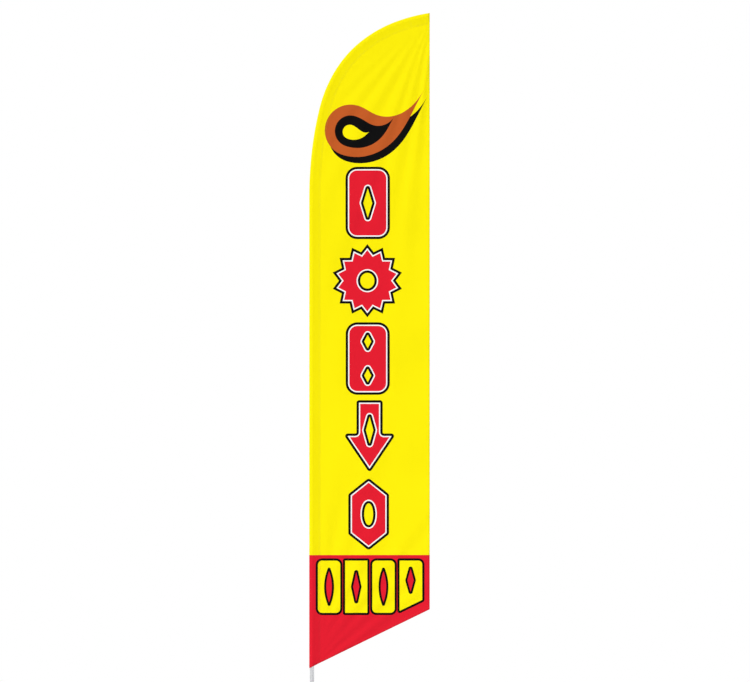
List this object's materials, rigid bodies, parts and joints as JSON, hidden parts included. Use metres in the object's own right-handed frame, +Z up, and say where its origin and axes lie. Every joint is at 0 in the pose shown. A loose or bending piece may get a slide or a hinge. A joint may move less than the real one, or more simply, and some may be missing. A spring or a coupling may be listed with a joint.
{
  "type": "feather flag with pole",
  "caption": "Tall curved-top swooper flag in yellow and red on a sectional pole that turns on a steel ground spike.",
  "frame": {"origin": "on the spike's axis at ground level, where the full-size shank ends under the step plate", "axes": "+Z up along the pole; the flag lies in the XZ plane on the +X side of the pole; +Y is the flag's back"},
  "size_m": [0.704, 0.0475, 4.9704],
  "materials": {
    "galvanised_steel": "hot-dip galvanised, matt with a faint spangle",
    "bright_steel": "bright turned steel",
    "bearing_steel": "ground bearing steel",
    "spring_steel": "dark tempered spring steel",
    "turned_aluminium": "turned, fine lathe marks",
    "tube_aluminium": "drawn tube, satin anodised",
    "fibreglass": "pultruded rod, off-white, faint lengthwise fibres",
    "black_rubber": "matt black rubber",
    "black_plastic": "moulded nylon, fine texture",
    "flag_cloth": "warp-knitted polyester, dye printed through, yellow with red, black, white and brown print",
    "white_webbing": "woven polyester webbing",
    "brass_eyelet": "pressed brass eyelet, nickel free"
  },
  "bodies": {
    "stake": {"ground_spike": "galvanised_steel", "step_plate": "galvanised_steel", "step_gussets": "galvanised_steel", "spindle": "bright_steel", "bearing_inner_rings": "bearing_steel", "bearing_spacer": "bright_steel", "spindle_circlip": "spring_steel"},
    "rotator": {"rotator_hub": "turned_aluminium", "hub_circlip": "spring_steel", "bearing_outer_rings": "bearing_steel", "bearing_balls": "bearing_steel", "bearing_shields": "bearing_steel", "hub_spacer": "turned_aluminium", "dust_seal": "black_rubber", "spigot_o_rings": "black_rubber", "spigot_cap": "black_plastic"},
    "pole": {"pole_foot_ring": "black_plastic", "lower_tube": "tube_aluminium", "middle_tube": "tube_aluminium", "upper_tube": "tube_aluminium", "tube_end_bushes": "black_plastic", "lower_button_spring": "spring_steel", "upper_button_spring": "spring_steel", "whip_ferrule": "turned_aluminium", "whip_rod": "fibreglass", "tip_cap": "black_plastic", "tension_collar": "black_plastic", "tension_hook": "bright_steel", "pole_sleeve": "flag_cloth", "flag_panel": "flag_cloth", "tip_pocket": "white_webbing", "tension_strap": "white_webbing", "strap_grommet": "brass_eyelet"},
    "lower_button": {"lower_snap_button": "bright_steel"},
    "upper_button": {"upper_snap_button": "bright_steel"},
    "collar_thumb_screw": {"collar_screw": "bright_steel", "collar_knob": "black_plastic"}
  },
  "joints": [
    {"name": "swivel", "type": "hinge", "parent": "stake", "child": "rotator", "pos_m": [0, 0, 0.04], "axis": [0, 0, 1], "continuous": true},
    {"name": "pole_lift", "type": "slide", "parent": "rotator", "child": "pole", "axis": [0, 0, 1], "range_m": [0, 0.14]},
    {"name": "lower_button_press", "type": "slide", "parent": "pole", "child": "lower_button", "axis": [0, -1, 0], "range_m": [0, 0.0036], "stiffness_N_per_m": 600, "springref_m": -0.003, "deforming": ["lower_button_spring"]},
    {"name": "upper_button_press", "type": "slide", "parent": "pole", "child": "upper_button", "axis": [0, -1, 0], "range_m": [0, 0.0034], "stiffness_N_per_m": 600, "springref_m": -0.003, "deforming": ["upper_button_spring"]},
    {"name": "collar_screw_turn", "type": "hinge", "parent": "pole", "child": "collar_thumb_screw", "pos_m": [0.025, 0, 0.888], "axis": [1, 0, 0], "range_deg": [0, 360]}
  ]
}
